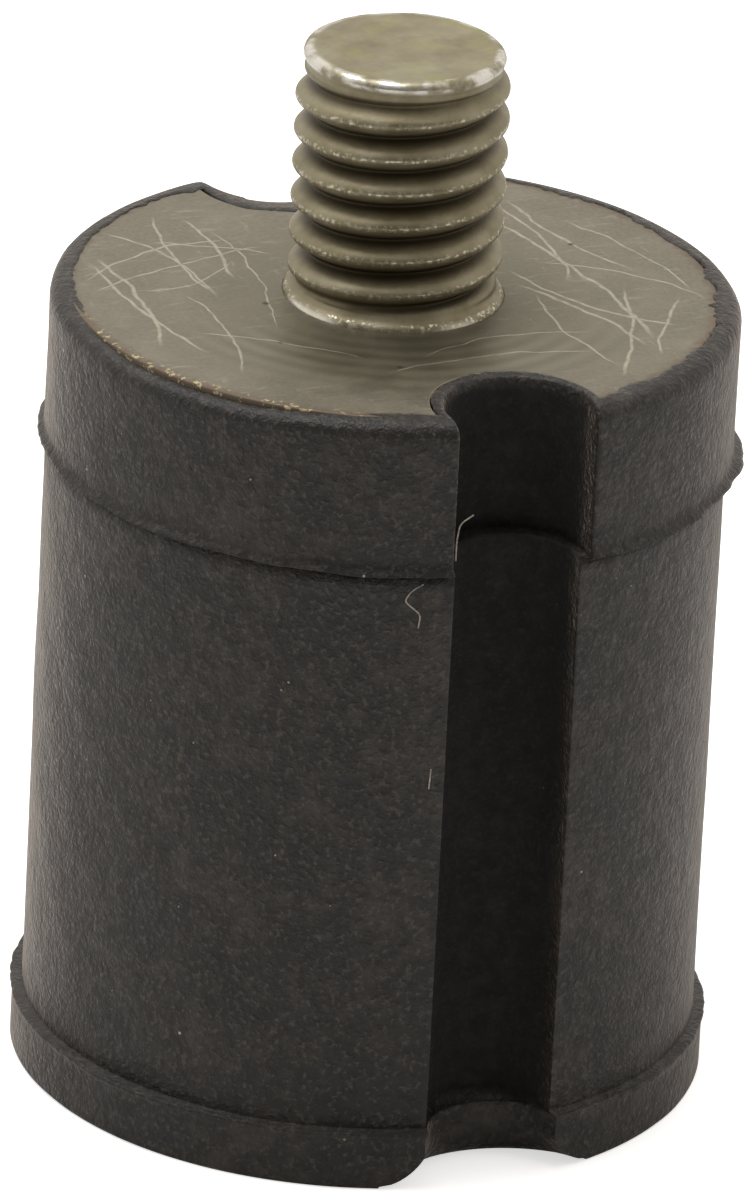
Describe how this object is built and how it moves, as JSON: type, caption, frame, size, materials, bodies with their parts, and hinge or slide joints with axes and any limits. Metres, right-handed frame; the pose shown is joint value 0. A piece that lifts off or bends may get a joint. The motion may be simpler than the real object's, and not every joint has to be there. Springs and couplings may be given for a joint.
{
  "type": "bobbin vibration mount",
  "caption": "Grooved rubber column bonded between round steel plates, with a threaded stud on top and a threaded bush below.",
  "frame": {"origin": "centre of the lower face, on the axis", "axes": "+Z along the stud, away from the lower face; the two mould grooves are at -Y and +Y"},
  "size_m": [0.0194, 0.019, 0.03],
  "materials": {
    "rubber": "matt moulded natural rubber",
    "plate_steel": "worn zinc plate with fine scratches",
    "stud_steel": "yellow passivated zinc plate"
  },
  "bodies": {
    "root": {"rubber_body": "rubber", "upper_plate": "plate_steel", "lower_plate": "plate_steel", "stud": "stud_steel", "threaded_bush": "stud_steel"}
  },
  "joints": []
}
